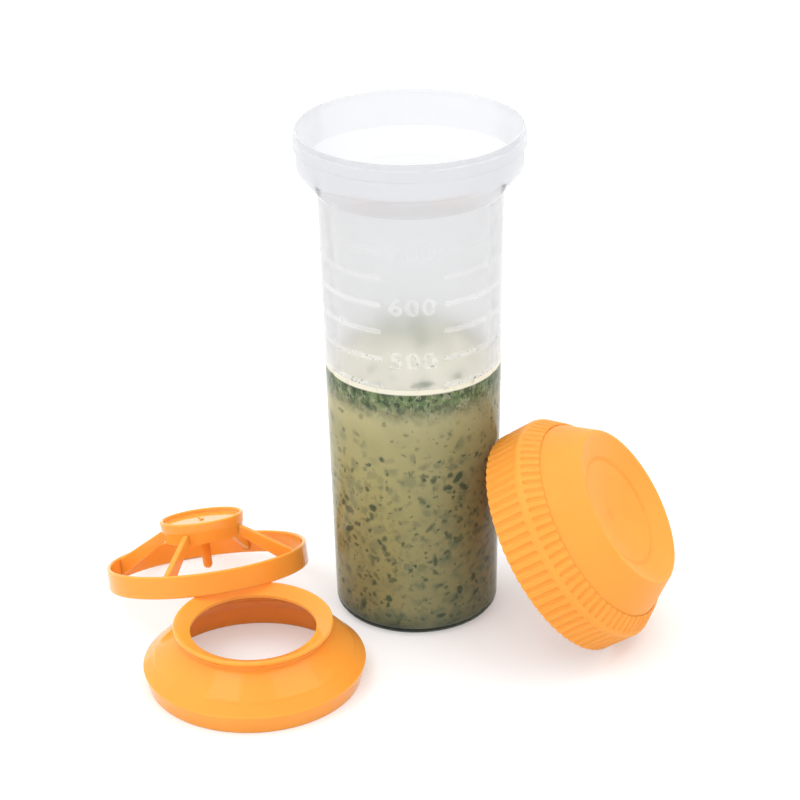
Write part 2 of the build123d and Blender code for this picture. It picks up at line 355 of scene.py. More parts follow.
@frozen
class Finish:
    """What a piece is made of."""

    name: str

    def material(self) -> Material:
        """Make the material.

        Returns:
            The material.
        """
        canvas = Canvas(self.name)
        self.paint(canvas)
        return canvas.material

    def paint(self, canvas: Canvas) -> None:
        """Fill the new material; each finish does that in its own way."""
        raise NotImplementedError


@frozen
class OrangePlastic(Finish):
    """Orange moulded plastic, from polished to satin."""

    colour: Colour
    shade: Colour
    roughness: float
    worn_roughness: float
    grain: float
    grain_share: float
    bump: float
    specular: float
    glow: float
    glow_depth: float
    glow_spread: Colour = (1.0, 0.85, 0.6)
    refraction: float = 1.49
    wave: float = 45.0
    prints: float = 55.0
    relief: float = 0.0004

    def paint(self, canvas: Canvas) -> None:
        """Paint it.

        Args:
            canvas: the new material's node tree.
        """
        skin = canvas.skin(self.grain, self.wave, self.grain_share)
        tone = canvas.step(skin["Tone"], 0.3, 0.7)
        canvas.bump(self.bump, self.relief, skin["Height"])
        canvas.set(
            Base_Color=canvas.mix(tone, self.shade, self.colour),
            Roughness=canvas.worn(self.prints, self.roughness, self.worn_roughness),
            IOR=self.refraction,
            Specular_IOR_Level=self.specular,
            Subsurface_Weight=self.glow,
            Subsurface_Radius=self.glow_spread,
            Subsurface_Scale=self.glow_depth,
        )


@frozen
class ClearPlastic(Finish):
    """The beaker's plastic, polished or frosted; shadows pass through most of it."""

    colour: Colour
    transmission: float
    roughness: float
    worn_roughness: float
    grain: float
    bump: float
    body: float
    shadow: float
    refraction: float
    wetted: bool = False
    wet_gloss: float = 0.1
    drying: float = 1.5
    specular: float = 0.25
    grain_share: float = 0.7
    wave: float = 30.0
    prints: float = 35.0
    relief: float = 0.0003

    def paint(self, canvas: Canvas) -> None:
        """Paint it.

        Args:
            canvas: the new material's node tree.
        """
        rough = canvas.worn(self.prints, self.roughness, self.worn_roughness)
        if self.wetted:
            dry = canvas.above(0.0, self.drying, self.wet_gloss, 1.0)
            rough = canvas.math("MULTIPLY", rough, dry)
        skin = canvas.skin(self.grain, self.wave, self.grain_share)
        canvas.bump(self.bump, self.relief, skin["Height"])
        shadow_ray = canvas.add("LightPath").outputs["Is Shadow Ray"]
        canvas.set(
            Base_Color=(*self.colour, 1.0),
            Roughness=rough,
            Specular_IOR_Level=self.specular,
            Transmission_Weight=self.transmission,
            IOR=self.refraction,
            Alpha=canvas.math("MULTIPLY_ADD", shadow_ray, self.shadow - self.body, self.body),
        )


@frozen
class RaisedMark(Finish):
    """The raised scale and its numbers: a pale film of painted sheen, the white surroundings as their
    polished faces show them, with herbs seen through the lowest.
    """

    colour: Colour
    alpha: float
    roughness: float
    herb: Colour = linear(96, 110, 88)
    herb_alpha: float = 0.7

    def paint(self, canvas: Canvas) -> None:
        """Paint it.

        Args:
            canvas: the new material's node tree.
        """
        skin = canvas.skin(1800.0, 50.0, 0.5)
        alpha = canvas.step(skin["Tone"], 0.2, 0.8, self.alpha * 0.9, self.alpha * 1.1)

        # A mark shows only where the wall is dry, and the highest ones fade
        dry = canvas.above(0.0, 2.0)
        faded = canvas.above(35.0, 65.0, 1.0, 0.2)
        alpha = canvas.math("MULTIPLY", canvas.math("MULTIPLY", alpha, dry), faded)

        # Small herbs sit behind the lowest ones
        found = canvas.herbs(canvas.above(14.0, 29.0, 0.75, 0.0), (900.0, 0.00035, 0.5, 0.0001, 0.5))
        flecks = canvas.math("MULTIPLY", found, dry)
        alpha = canvas.math("MAXIMUM", alpha, canvas.math("MULTIPLY", flecks, self.herb_alpha))

        # The painted sheen lies on the outward faces alone, so that a mark's edges and back don't show it
        # twice
        face = canvas.add("NewGeometry").outputs
        outwards = canvas.vector_math("NORMALIZE", canvas.stretch(canvas.place, 1.0, 1.0, 0.0))
        flat = canvas.step(canvas.dot(face["True Normal"], outwards), 0.7, 0.8)
        top = canvas.math("MULTIPLY", flat, canvas.math("SUBTRACT", 1.0, face["Backfacing"]))
        canvas.bump(0.05, 0.0003, skin["Height"])
        canvas.set(
            Base_Color=canvas.mix(flecks, self.colour, self.herb),
            Alpha=canvas.math("MULTIPLY", alpha, top),
            Roughness=self.roughness,
            Specular_IOR_Level=0.1,
        )


@frozen
class DressingLiquid(Finish):
    """Cloudy dressing with chopped herbs, which gather under its top."""

    layer: float
    roughness: float
    # The liquid's colours by height, darker towards the bottom; the two lowest stops, at the very foot, are
    # painted shade of the beaker's thick bottom
    tones_and_foot_shade: tuple[tuple[float, Colour], ...] = (
        (0.0, linear(40, 50, 42)),
        (0.03, linear(96, 98, 72)),
        (0.1, linear(152, 146, 100)),
        (0.5, linear(170, 162, 108)),
        (0.78, linear(180, 173, 122)),
        (0.88, linear(196, 189, 140)),
    )
    murk: Colour = linear(136, 136, 98)
    # The colour of the painted shade on the liquid's right side
    painted_shade: Colour = linear(92, 94, 72)
    sunken: Colour = linear(88, 102, 84)
    fleck: Colour = linear(42, 60, 48)
    pale_fleck: Colour = linear(74, 92, 72)
    leaves: tuple[tuple[float, Colour], ...] = (
        (0.0, linear(48, 66, 46)),
        (0.4, linear(78, 100, 66)),
        (0.7, linear(112, 136, 88)),
        (1.0, linear(62, 84, 58)),
    )
    stalk: Colour = linear(110, 112, 92)
    pale_stalk: Colour = linear(142, 142, 116)
    vein: Colour = linear(206, 206, 170)
    cream: Colour = linear(252, 247, 226)
    blotch: Colour = linear(122, 136, 108)

    def paint(self, canvas: Canvas) -> None:
        """Paint it.

        Args:
            canvas: the new material's node tree.
        """
        # Colour by height, darker towards the bottom, with painted shade at the very foot
        up = canvas.math("DIVIDE", canvas.axes[2], LEVEL * MM)
        cloud = canvas.noise(canvas.place, 60.0, 4.0, 0.6)
        drift = canvas.math("MULTIPLY_ADD", cloud, 0.1, canvas.math("SUBTRACT", up, 0.05))
        liquid = canvas.ramp(drift, self.tones_and_foot_shade)
        liquid = canvas.mix(canvas.step(cloud, 0.45, 0.7, 0.0, 0.3), liquid, self.murk)
        # Painted shade: the liquid is laid darker towards its right side, away from the light
        right = canvas.step(canvas.axes[0], -0.02, 0.036)
        liquid = canvas.lay(liquid, self.painted_shade, right, 0.45)

        # Herbs are fewest under the band, and more of them lie to the right, which deepens the painted shade
        # there
        crowd = canvas.math("MULTIPLY_ADD", right, 0.25, canvas.step(up, 0.5, 0.88, 0.75, 0.14))
        deep = canvas.herbs(crowd, (150.0, 0.0032, 0.45, 0.0028, 0.3), (230.0, 0.002, 0.45, 0.0017, 0.3))
        liquid = canvas.lay(liquid, self.sunken, deep, 0.55)
        near = canvas.herbs(crowd, (190.0, 0.0015, 0.33, 0.0011, 0.3), (290.0, 0.0011, 0.36, 0.0008, 0.3))
        specks = canvas.herbs(canvas.math("MULTIPLY", crowd, 0.4), (560.0, 0.00042, 0.6, 0.0002, 0.4))
        flecks = canvas.math("MAXIMUM", near, specks)
        green = canvas.mix(canvas.noise(canvas.place, 300.0), self.fleck, self.pale_fleck)
        liquid = canvas.lay(liquid, green, flecks, 0.92)
        canvas.bump(0.2, 0.0003, canvas.math("MULTIPLY_ADD", cloud, 0.5, flecks))
        canvas.set(
            Base_Color=self.top(canvas, self.band(canvas, liquid)),
            Roughness=canvas.step(flecks, 0.0, 1.0, self.roughness, self.roughness + 0.15),
            Specular_IOR_Level=0.2,
        )

    def band(self, canvas: Canvas, below: Socket) -> Socket:
        """Lay the herb band under the top over the liquid, with a ragged soft lower edge.

        Args:
            canvas: the material's node tree.
            below: the liquid's colour.

        Returns:
            The colour's socket.
        """
        ragged = canvas.math("SUBTRACT", canvas.noise(canvas.place, 150.0, 4.0, 0.65), 0.5)
        reach = canvas.math("MULTIPLY_ADD", ragged, 0.006, canvas.axes[2])
        low = (LEVEL - self.layer) * MM

        # Leaf bits, and paler stalks towards the lower edge
        bits = canvas.add("TexVoronoi", inputs={"Vector": canvas.place, "Scale": 520.0}).outputs["Color"]
        herbs = canvas.ramp(canvas.add("SeparateColor", inputs={0: bits}).outputs[0], self.leaves)
        pale = canvas.mix(canvas.noise(canvas.place, 500.0, 3.0), self.stalk, self.pale_stalk)
        lower = canvas.step(reach, low, (LEVEL - self.layer * 0.35) * MM, 1.0, 0.12)
        herbs = canvas.lay(herbs, pale, lower, 0.75)

        # Pale veins between the bits, here and there
        bent = canvas.stretch(canvas.noise(canvas.place, 500.0, output="Color"), 0.0016, 0.0016, 0.0016)
        tall = canvas.vector_math("ADD", canvas.stretch(canvas.place, 1.0, 1.0, 0.35), bent)
        joints = canvas.add("TexVoronoi", {"feature": "DISTANCE_TO_EDGE"}, {0: tall, "Scale": 430.0})
        veins = canvas.step(joints.outputs["Distance"], 0.0, 0.12, 0.4, 0.0)
        patchy = canvas.step(canvas.noise(canvas.place, 220.0), 0.42, 0.58)
        herbs = canvas.lay(herbs, self.vein, veins, patchy)

        # The band thins out downwards
        grains = canvas.noise(canvas.place, 420.0, 3.0, 0.6)
        thin = canvas.step(reach, low, LEVEL * MM, 0.5, 0.3)
        dense = canvas.step(grains, thin, canvas.math("ADD", thin, 0.12), 0.7, 1.0)
        return canvas.lay(below, herbs, canvas.step(reach, low - 0.003, low + 0.005), dense)

    def top(self, canvas: Canvas, side: Socket) -> Socket:
        """Lay the creamy top over the side's colour, with green blotches that crowd at the far side.

        Args:
            canvas: the material's node tree.
            side: the side's colour.

        Returns:
            The colour's socket.
        """
        far = canvas.step(canvas.axes[1], -0.01, 0.032, 0.0, 0.14)
        green = canvas.step(canvas.math("ADD", canvas.noise(canvas.place, 120.0, 4.0, 0.6), far), 0.54, 0.7)
        return canvas.mix(canvas.above(-1.9, -1.1), side, canvas.mix(green, self.cream, self.blotch))


# Turned shapes


@frozen
class Corner:
    """One corner of a turned profile: its radius, its height, its rounding, and the bow of the next run."""

    radius: float
    height: float
    rounding: float = 0.0
    bow: float = 0.0


def corners(*rows: Row) -> tuple[Corner, ...]:
    """Make a profile's corners from rows of radius, height, rounding and bow."""
    return tuple(Corner(*row) for row in rows)


@frozen
class Profile:
    """A profile that is spun round the Z axis; one that starts and ends on the axis stays open there."""

    corners: tuple[Corner, ...]
    arc_steps: int = 4
    bow_steps: int = 7

    def wire(self, bm: Mesh) -> None:
        """Draw the profile as edges, with its corners rounded and its bows bent.

        Args:
            bm: the mesh that gets the edges.
        """
        points = [Vector((c.radius, 0.0, c.height)) * MM for c in self.corners]
        verts = [bm.verts.new(p) for p in points]
        shut = self.corners[0].radius > 0.0 or self.corners[-1].radius > 0.0
        count = len(verts)
        for index in range(count if shut else count - 1):
            bm.edges.new((verts[index], verts[(index + 1) % count]))
        for index, corner in enumerate(self.corners):
            if corner.rounding:
                self.round(bm, verts[index], corner.rounding * MM)
        for index, corner in enumerate(self.corners):
            if corner.bow:
                middle = (points[index] + points[index + 1]) / 2
                edge = min(bm.edges, key=lambda e: ((e.verts[0].co + e.verts[1].co) / 2 - middle).length)
                self.bend(bm, edge, corner.bow * MM)

    def bend(self, bm: Mesh, edge: bmesh.types.BMEdge, bow: float) -> None:
        """Bend a straight edge into an arc that sags downwards.

        Args:
            bm: the mesh.
            edge: the edge.
            bow: the arc's radius in metres.
        """
        start, end = (v.co.copy() for v in edge.verts)
        middle = (start + end) / 2
        half = (end - start).length / 2
        down = (end - start).cross(Vector((0.0, 1.0, 0.0))).normalized()
        if down.z > 0:
            down.negate()
        made = bmesh.ops.subdivide_edges(bm, edges=[edge], cuts=self.bow_steps)
        for vert in points_of(made["geom_inner"]):
            along = (vert.co - middle).length
            sag = math.sqrt(bow**2 - along**2) - math.sqrt(bow**2 - half**2)
            vert.co += down * sag

    def round(self, bm: Mesh, vert: bmesh.types.BMVert, rounding: float) -> None:
        """Round one corner of the wire.

        Args:
            bm: the mesh.
            vert: the corner.
            rounding: its radius in metres.
        """
        first, second = (e.other_vert(vert).co - vert.co for e in vert.link_edges)
        turn = math.pi - first.angle(second)
        soften(bm, [vert], rounding * math.tan(turn / 2), self.arc_steps, offset_type="OFFSET")

    def spin(self, steps: int, angle: float = math.tau) -> Mesh:
        """Spin the profile; a whole turn is merged at its seam and becomes a closed shell.

        Args:
            steps: how many faces go round.
            angle: the angle in radians.

        Returns:
            The mesh.
        """
        bm = bmesh.new()
        self.wire(bm)
        whole = angle >= math.tau
        spin_about(bm, [*bm.verts, *bm.edges], angle, steps, use_merge=whole, use_duplicate=False)
        if whole:
            close(bm)
        return bm


def points_of(geometry: list) -> list[bmesh.types.BMVert]:
    """Pick the points out of an operator's result."""
    return [v for v in geometry if isinstance(v, bmesh.types.BMVert)]


def parts_of(bm: Mesh) -> list:
    """Give all of a mesh's points, edges and faces."""
    return [*bm.verts, *bm.edges, *bm.faces]


def soften(bm: Mesh, geometry: list, size: float, steps: int, **options: str) -> None:
    """Round corners of a mesh, or its edges where the options say so."""
    options = {"affect": "VERTICES", "profile": 0.5, "material": -1, **options}
    bmesh.ops.bevel(bm, geom=geometry, offset=size, segments=steps, **options)


def spin_about(bm: Mesh, geometry: list, angle: float, steps: int, **options: bool) -> None:
    """Spin geometry about the Z axis."""
    centre = (0.0, 0.0, 0.0)
    bmesh.ops.spin(bm, geom=geometry, cent=centre, axis=(0.0, 0.0, 1.0), angle=angle, steps=steps, **options)


def close(bm: Mesh) -> None:
    """Merge doubled points, such as the poles, and turn the faces outwards."""
    bmesh.ops.remove_doubles(bm, verts=bm.verts, dist=1e-6)
    bmesh.ops.recalc_face_normals(bm, faces=bm.faces)


def join(target: Mesh, part: Mesh) -> None:
    """Move one mesh's faces into another one."""
    scratch = bpy.data.meshes.new("scratch")
    part.to_mesh(scratch)
    part.free()
    target.from_mesh(scratch)
    bpy.data.meshes.remove(scratch)


def stand(name: str, data: bpy.types.ID) -> Object:
    """Put new data into the scene as an object."""
    holder = bpy.data.objects.new(name, data)
    bpy.context.scene.collection.objects.link(holder)
    return holder


@frozen
class Piece:
    """How a mesh becomes a piece with its name and body, hiding the CAD node that it stands for; it holds a
    slot as well.

    Even normals are weighed by the faces' areas, for clean reflections.
    """

    name: str
    body: Body
    slot: Slot
    node: str | None = None
    sharp: float = 40.0
    even: bool = True

    def finish(self, bm: Mesh, materials: list[Material], placement: Matrix | None = None) -> Object:
        """Turn the mesh into a piece of the object.

        Args:
            bm: the mesh, which is freed.
            materials: what its faces' material numbers mean.
            placement: where the mesh stands.

        Returns:
            The piece.
        """
        if placement is not None:
            bmesh.ops.transform(bm, matrix=placement, verts=bm.verts)
        for face in bm.faces:
            face.smooth = True
        mesh = bpy.data.meshes.new(self.name)
        bm.to_mesh(mesh)
        bm.free()
        mesh.set_sharp_from_angle(angle=math.radians(self.sharp))
        piece = stand(self.name, mesh)
        for material in materials:
            mesh.materials.append(material)
        if self.even:
            modifier = piece.modifiers.new("even_normals", "WEIGHTED_NORMAL")
            modifier.keep_sharp = True
            modifier.weight = 50
        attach(piece, self.body.value)
        if self.node:
            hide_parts(self.node)
        return piece


# The beaker


@frozen
class Beaker:
    """Tall tapered tumbler: frosted body, polished flared mouth, raised scale."""

    foot_radius: float = 35.43
    shoulder_radius: float = 38.9
    shoulder: float = 194.9
    polish_start: float = 196.1
    wall: float = 1.75
    bottom: float = 2.0
    bearing: float = -90.35
    mark_start: float = 19.65
    mark_end: float = 104.0
    mark_width: float = 2.4
    mark_softness: float = 0.42
    mark_count: int = 14
    rise: float = 0.17
    sunk: float = 0.05
    step_volume: int = 50
    digit_volume: int = 100
    digit_height: float = 7.8
    digit_drop: float = 0.5
    digit_gap: float = 1.16
    digit_weight: float = 0.03
    digits_width: float = 19.6
    steps: int = 192

    profile: Profile = Profile(
        corners(
            (0.0, 0.0), (35.43, 0.0, 4.5), (38.9, 194.9, 2.0), (46.95, 204.6, 3.0), (46.95, 213.6, 0.2),
            (48.1, 213.6, 0.6), (48.1, 218.8, 0.6), (47.1, 218.8, 0.2), (47.1, 221.0, 0.2),
            (46.4, 221.0, 0.2), (44.8, 214.6), (44.8, 205.5, 1.0), (37.15, 196.0, 2.0), (33.716, 2.0, 3.5),
            (0.0, 2.0),
        )
    )

    @property
    def taper(self) -> float:
        """Give how much the body widens with each millimetre of height."""
        return (self.shoulder_radius - self.foot_radius) / self.shoulder

    def radius_at(self, height: float) -> float:
        """Give the body's outer radius at a height."""
        return self.foot_radius + self.taper * height

    def inner_at(self, height: float) -> float:
        """Give the body's inner radius at a height."""
        return self.radius_at(height) - self.wall

    def height_of(self, millilitres: float) -> float:
        """Give the height up to which the body, a part of a cone, holds a volume.

        Args:
            millilitres: the volume.

        Returns:
            The height in millimetres.
        """
        low = self.inner_at(self.bottom)
        high = (low**3 + 3 * self.taper * millilitres * 1000 / math.pi) ** (1 / 3)
        return self.bottom + (high - low) / self.taper

    def shell(self) -> Mesh:
        """Spin the beaker: material 0 for its outer skin, 1 for its inner side, 2 for its mouth.

        Returns:
            The mesh.
        """
        bm = self.profile.spin(self.steps)
        for face in bm.faces:
            middle = face.calc_center_median()
            height = middle.z / MM
            inside = math.hypot(middle.x, middle.y) / MM < self.radius_at(height) - self.wall / 2
            lined = inside and height > self.bottom / 2
            face.material_index = 2 if height > self.polish_start else int(lined)
        return bm

    def wrap(self, bm: Mesh, height: float) -> None:
        """Lay a flat mesh round the wall: X goes round, Y goes up, Z stands out.

        Args:
            bm: the flat mesh, in millimetres, about the mark's middle.
            height: the height of that middle.
        """
        bmesh.ops.recalc_face_normals(bm, faces=bm.faces)
        around = self.radius_at(height)
        for vert in bm.verts:
            angle = math.radians(self.bearing) + vert.co.x / around
            level = height + vert.co.y
            out = self.radius_at(level) + vert.co.z
            vert.co = Vector((out * math.cos(angle), out * math.sin(angle), level)) * MM

    def mark(self, height: float) -> Mesh:
        """Make one scale mark on both sides of the numbers, with rounded ends.

        Args:
            height: the mark's height.

        Returns:
            The mesh.
        """
        around = self.radius_at(height)
        start, end = (math.radians(a) * around for a in (self.mark_start, self.mark_end))
        bm = bmesh.new()
        bmesh.ops.create_grid(bm, x_segments=16, y_segments=1, size=0.5)
        bmesh.ops.scale(bm, vec=(end - start, self.mark_width, 1.0), verts=bm.verts)
        bmesh.ops.translate(bm, vec=((start + end) / 2, 0.0, -self.sunk), verts=bm.verts)
        ends = [v for v in bm.verts if len(v.link_edges) == 2]
        soften(bm, ends, self.mark_width * self.mark_softness, 5)
        made = bmesh.ops.extrude_face_region(bm, geom=bm.faces[:])
        bmesh.ops.translate(bm, vec=(0.0, 0.0, self.rise), verts=points_of(made["geom"]))
        bmesh.ops.mirror(bm, geom=parts_of(bm), axis="X", merge_dist=1e-5)
        self.wrap(bm, height)
        return bm

    def number(self, millilitres: int, height: float) -> Mesh:
        """Make one raised number of the scale.

        Args:
            millilitres: the number.
            height: the height of its middle.

        Returns:
            The mesh.
        """
        curve = bpy.data.curves.new("number", "FONT")
        curve.body = str(millilitres)
        curve.align_x = "CENTER"
        curve.align_y = "CENTER"
        curve.offset = self.digit_weight
        curve.space_character = self.digit_gap
        curve.extrude = 0.5
        curve.resolution_u = 6
        holder = stand("number", curve)
        bpy.context.view_layer.update()
        mesh = bpy.data.meshes.new_from_object(holder)
        bm = bmesh.new()
        bm.from_mesh(mesh)
        bpy.data.objects.remove(holder)
        bpy.data.curves.remove(curve)
        bpy.data.meshes.remove(mesh)
        bmesh.ops.remove_doubles(bm, verts=bm.verts, dist=1e-5)
        low, high = (Vector(f(v.co[i] for v in bm.verts) for i in range(3)) for f in (min, max))
        bmesh.ops.translate(bm, vec=-(low + high) / 2, verts=bm.verts)
        size = high - low
        scale = (self.digits_width / size.x, self.digit_height / size.y, self.rise / size.z)
        bmesh.ops.scale(bm, vec=scale, verts=bm.verts)
        bmesh.ops.translate(bm, vec=(0.0, -self.digit_drop, self.rise / 2 - self.sunk), verts=bm.verts)

        # Upright cuts, one every millimetre, let the number follow the round wall
        reach = int(self.digits_width / 2)
        for cut in range(-reach, reach + 1):
            point = (float(cut), 0.0, 0.0)
            bmesh.ops.bisect_plane(bm, geom=parts_of(bm), plane_co=point, plane_no=(1.0, 0.0, 0.0))
        self.wrap(bm, height)
        return bm

    def build(self) -> list[Object]:
        """Build the beaker and its scale.

        Returns:
            The pieces.
        """
        skin = ClearPlastic(
            "wall_outside", (0.97, 0.973, 0.98), transmission=1.0, roughness=0.12, worn_roughness=0.16,
            grain=1500.0, bump=0.02, body=1.0, shadow=0.03, refraction=1.15,
        )
        frost = ClearPlastic(
            "wall_inside", (0.635, 0.638, 0.643), transmission=0.88, roughness=0.5, worn_roughness=0.56,
            grain=2600.0, bump=0.12, body=1.0, shadow=0.05, refraction=1.25, wetted=True,
        )
        polished = ClearPlastic(
            "polished_mouth", (0.66, 0.669, 0.698), transmission=0.64, roughness=0.33, worn_roughness=0.39,
            grain=900.0, bump=0.01, body=0.56, shadow=0.06, refraction=1.27,
        )
        # The marks' pale colour is painted sheen: the white surroundings as their polished faces show them
        relief = RaisedMark("scale_relief_painted_sheen", (0.88, 0.882, 0.885), alpha=0.27, roughness=0.5)
        shell = Piece("beaker_wall", Body.BEAKER, Slot.FROSTED, "beaker")
        plastics = [plastic.material() for plastic in (skin, frost, polished)]
        pieces = [shell.finish(self.shell(), plastics)]
        marks = bmesh.new()
        numbers = bmesh.new()
        for index in range(1, self.mark_count + 1):
            volume = index * self.step_volume
            height = self.height_of(volume)
            join(marks, self.mark(height))
            if volume % self.digit_volume == 0:
                join(numbers, self.number(volume, height))
        material = relief.material()
        for name, bm in (("scale_marks", marks), ("scale_numbers", numbers)):
            pieces.append(Piece(name, Body.BEAKER, Slot.FROSTED, even=False).finish(bm, [material]))
        return pieces


@frozen
class Dressing:
    """The filling, up to its level, with a low meniscus at the wall."""

    layer: float = 13.6
    into_wall: float = 0.15
    climb: float = 0.7
    climb_width: float = 1.9
    steps: int = 160

    def build(self, beaker: Beaker) -> list[Object]:
        """Build the dressing inside the beaker.

        Args:
            beaker: the beaker that holds it.

        Returns:
            The pieces.
        """
        low = beaker.inner_at(beaker.bottom) + self.into_wall
        high = beaker.inner_at(LEVEL) + self.into_wall
        foot = beaker.bottom - self.into_wall
        rim = (high, LEVEL + self.climb)
        rows = ((0.0, foot), (low, foot, 3.5), rim, (high - self.climb_width, LEVEL, 1.6), (0.0, LEVEL))
        profile = Profile(corners(*rows), arc_steps=6)
        liquid = DressingLiquid("dressing_liquid", self.layer, roughness=0.35)
        piece = Piece("dressing_fill", Body.BEAKER, Slot.DRESSING, "dressing")
        return [piece.finish(profile.spin(self.steps), [liquid.material()])]


# The orange pieces


@frozen
class Moulding:
    """An orange moulding: its piece, where it stands, its turn and lean, and its phase about its own axis."""

    piece: Piece
    place: Place
    turn: float = 0.0
    lean: float = 0.0
    phase: float = 0.0

    def shape(self) -> Mesh:
        """Make the mesh; each moulding does that in its own way."""
        raise NotImplementedError

    def build(self, plastic: Material) -> list[Object]:
        """Build the moulding where it stands.

        Args:
            plastic: what it is made of.

        Returns:
            The pieces.
        """
        move = Matrix.Translation(Vector(self.place) * MM) @ turned(self.turn, "Z")
        lean = turned(self.lean, "Y") @ turned(self.phase, "Z")
        return [self.piece.finish(self.shape(), [plastic], move @ lean)]


@frozen
class PourRing(Moulding):
    """Funnel ring: tapered skirt, flange, cone, neck and pouring lip."""

    piece: Piece = Piece("pour_ring_moulding", Body.POUR_RING, Slot.GLOSS, "pour_ring")
    place: Place = (-69.25, -64.17, 0.0)
    steps: int = 224

    profile: Profile = Profile(
        corners(
            (42.4, 0.0, 0.5), (44.84, 0.0, 0.5), (46.93, 8.19, 0.5), (42.6, 12.2, 1.0), (41.5, 13.6),
            (30.6, 21.85, 1.0), (33.58, 24.9, 0.55), (33.58, 26.2, 0.55), (32.1, 26.2), (26.5, 23.6, 0.4),
            (26.5, 22.2, 0.4), (29.4, 20.3, 1.0), (40.3, 12.2, 1.0), (42.4, 8.4, 1.2),
        ),
        arc_steps=5,
    )

    def shape(self) -> Mesh:
        """Spin the ring."""
        return self.profile.spin(self.steps)


@frozen
class Mixer(Moulding):
    """Ring with four sloping blades that carry a hub cup, and a pin under the hub, as one moulding."""

    piece: Piece = Piece("mixer_moulding", Body.MIXER, Slot.GLOSS, "mixer")
    place: Place = (-91.802, -2.175, 13.857)
    turn: float = 109.99
    lean: float = 18.5141
    blade_bearing: float = 50.5
    blade_count: int = 4
    blade_thickness: float = 2.5
    blade_softness: float = 0.55
    long_edge: float = 5.0
    blade_outline: tuple[Row, ...] = ((17.05, 17.6), (42.63, 1.4), (42.63, 9.34), (17.8, 22.1))
    ring_steps: int = 224
    cup_steps: int = 128
    rod_steps: int = 32

    # The pin under the hub, and the nub and the pip in the cup: radius, lower end, upper end, how far
    # it stands from the axis, and the lower end's rounding
    rods: tuple[Row, ...] = (
        (2.1, 3.13, 23.6, 0.0, 2.058),
        (0.9, 24.6, 25.7, 0.0, 0.0),
        (0.5, 24.6, 25.35, 4.6, 0.0),
    )

    ring: Profile = Profile(
        corners((42.55, 0.0, 0.85), (44.35, 0.0, 0.85), (44.35, 9.91, 0.85), (42.55, 9.91, 0.85)), arc_steps=5
    )
    cup: Profile = Profile(
        corners(
            (0.0, 23.3), (16.2, 23.3, 0.4), (15.39, 17.24, 0.3), (17.09, 17.24, 0.3), (17.9, 22.1),
            (18.2, 22.4), (18.67, 26.86, 0.7), (16.97, 26.86, 0.7), (16.67, 25.0, 0.6), (0.0, 25.0),
        )
    )

    def blade(self, bearing: float) -> Mesh:
        """Make one blade, from the ring's wall up to the hub.

        Args:
            bearing: the blade's bearing in degrees.

        Returns:
            The mesh.
        """
        bm = bmesh.new()
        side = [Vector((r, -self.blade_thickness / 2, z)) * MM for r, z in self.blade_outline]
        face = bm.faces.new([bm.verts.new(p) for p in side])
        made = bmesh.ops.extrude_face_region(bm, geom=[face])
        bmesh.ops.translate(bm, vec=(0.0, self.blade_thickness * MM, 0.0), verts=points_of(made["geom"]))
        along = [e for e in bm.edges if abs(e.verts[0].co.x - e.verts[1].co.x) > self.long_edge * MM]
        soften(bm, along, self.blade_softness * MM, 4, affect="EDGES")
        bmesh.ops.transform(bm, matrix=turned(bearing, "Z"), verts=bm.verts)
        bmesh.ops.recalc_face_normals(bm, faces=bm.faces)
        return bm

    def shape(self) -> Mesh:
        """Join the ring, the cup, the blades and the rods.

        Returns:
            The mesh.
        """
        bm = self.ring.spin(self.ring_steps)
        join(bm, self.cup.spin(self.cup_steps))
        for index in range(self.blade_count):
            join(bm, self.blade(self.blade_bearing + 360.0 / self.blade_count * index))
        for radius, low, high, reach, rounding in self.rods:
            rows = ((0.0, low), (radius, low, rounding), (radius, high, radius * 0.5), (0.0, high))
            rod = Profile(corners(*rows), arc_steps=8).spin(self.rod_steps)
            bmesh.ops.translate(rod, vec=(reach * MM, 0.0, 0.0), verts=rod.verts)
            join(bm, rod)
        return bm


